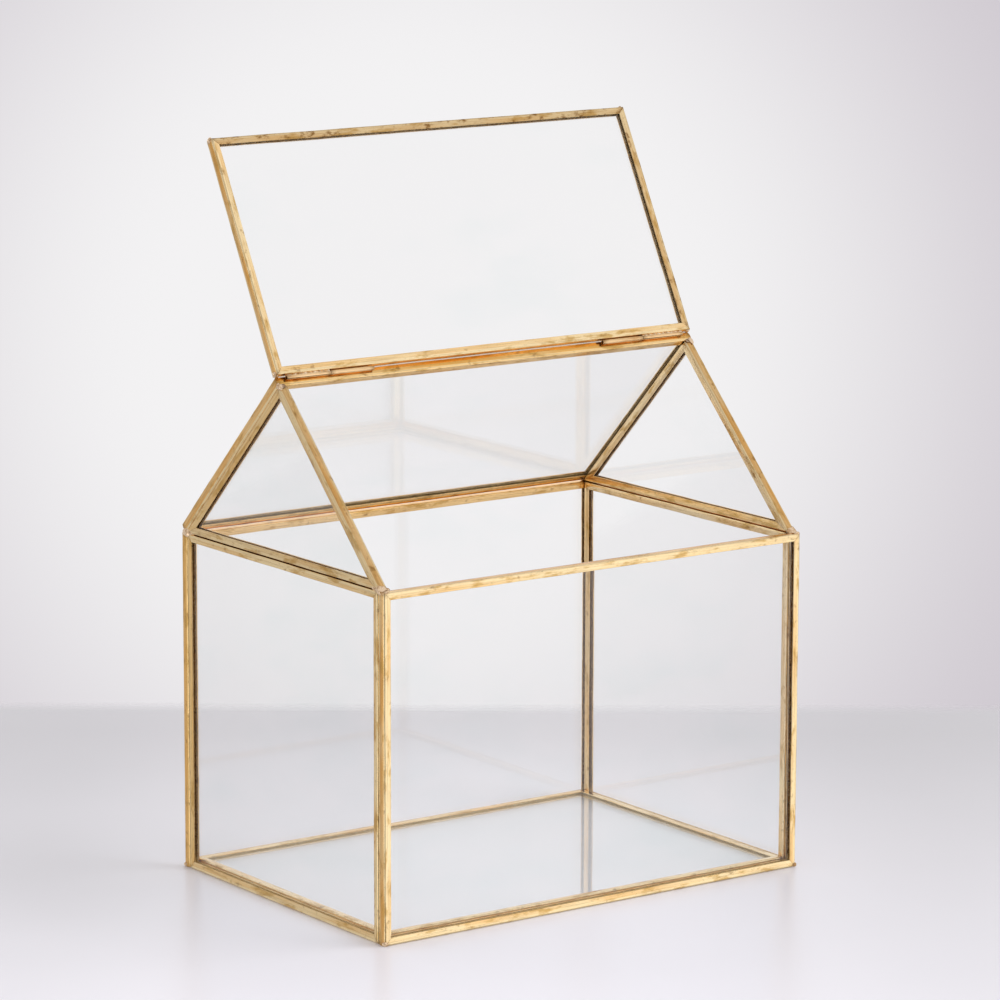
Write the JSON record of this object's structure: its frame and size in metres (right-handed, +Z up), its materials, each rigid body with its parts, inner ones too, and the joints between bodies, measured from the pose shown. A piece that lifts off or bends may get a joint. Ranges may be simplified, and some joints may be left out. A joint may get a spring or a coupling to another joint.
{
  "type": "glass card box",
  "caption": "House-shaped wedding card box: clear glass panes in soldered brass channel, with the front roof slope as a hinged lid, standing open.",
  "frame": {"origin": "centre of the box's footprint, on the plane it stands on", "axes": "+X along the ridge to the right, +Y to the back, +Z up; the lid is the front roof slope, towards -Y when closed"},
  "size_m": [0.2512, 0.1792, 0.3697],
  "materials": {
    "brass_came": "folded brass strip, satin to bright, lightly brushed along its length",
    "hinge_brass": "small drawn brass tube, bright",
    "solder": "brass-plated soft solder, smooth, slightly pink",
    "pin_wire": "drawn wire",
    "clear_glass": "clear float glass with a faint green-grey tint",
    "glazing_glue": "dark speckled glazing glue inside the channels"
  },
  "bodies": {
    "case": {"back_roof_eave_rail": "brass_came", "back_roof_glass": "clear_glass", "back_roof_glazing_glue": "glazing_glue", "back_roof_left_rail": "brass_came", "back_roof_ridge_rail": "brass_came", "back_roof_right_rail": "brass_came", "back_wall_bottom_rail": "brass_came", "back_wall_glass": "clear_glass", "back_wall_glazing_glue": "glazing_glue", "back_wall_left_rail": "brass_came", "back_wall_right_rail": "brass_came", "back_wall_top_rail": "brass_came", "base_back_rail": "brass_came", "base_front_rail": "brass_came", "base_glass": "clear_glass", "base_glazing_glue": "glazing_glue", "base_left_rail": "brass_came", "base_right_rail": "brass_came", "case_solder": "solder", "front_wall_bottom_rail": "brass_came", "front_wall_glass": "clear_glass", "front_wall_glazing_glue": "glazing_glue", "front_wall_left_rail": "brass_came", "front_wall_right_rail": "brass_came", "front_wall_top_rail": "brass_came", "hinge_pins": "pin_wire", "left_gable_back_rail": "brass_came", "left_gable_bottom_rail": "brass_came", "left_gable_front_rail": "brass_came", "left_gable_glass": "clear_glass", "left_gable_glazing_glue": "glazing_glue", "left_hinge_case_knuckle": "hinge_brass", "left_wall_back_rail": "brass_came", "left_wall_bottom_rail": "brass_came", "left_wall_front_rail": "brass_came", "left_wall_glass": "clear_glass", "left_wall_glazing_glue": "glazing_glue", "left_wall_top_rail": "brass_came", "right_gable_back_rail": "brass_came", "right_gable_bottom_rail": "brass_came", "right_gable_front_rail": "brass_came", "right_gable_glass": "clear_glass", "right_gable_glazing_glue": "glazing_glue", "right_hinge_case_knuckle": "hinge_brass", "right_wall_back_rail": "brass_came", "right_wall_bottom_rail": "brass_came", "right_wall_front_rail": "brass_came", "right_wall_glass": "clear_glass", "right_wall_glazing_glue": "glazing_glue", "right_wall_top_rail": "brass_came"},
    "lid": {"left_hinge_lid_knuckle": "hinge_brass", "lid_front_edge_rail": "brass_came", "lid_glass": "clear_glass", "lid_glazing_glue": "glazing_glue", "lid_hinge_side_rail": "brass_came", "lid_left_rail": "brass_came", "lid_right_rail": "brass_came", "lid_solder": "solder", "right_hinge_lid_knuckle": "hinge_brass"}
  },
  "joints": [
    {"name": "lid_hinge", "type": "hinge", "parent": "case", "child": "lid", "pos_m": [0, 0.00141, 0.25979], "axis": [1, 0, 0], "range_deg": [0, 163]}
  ]
}
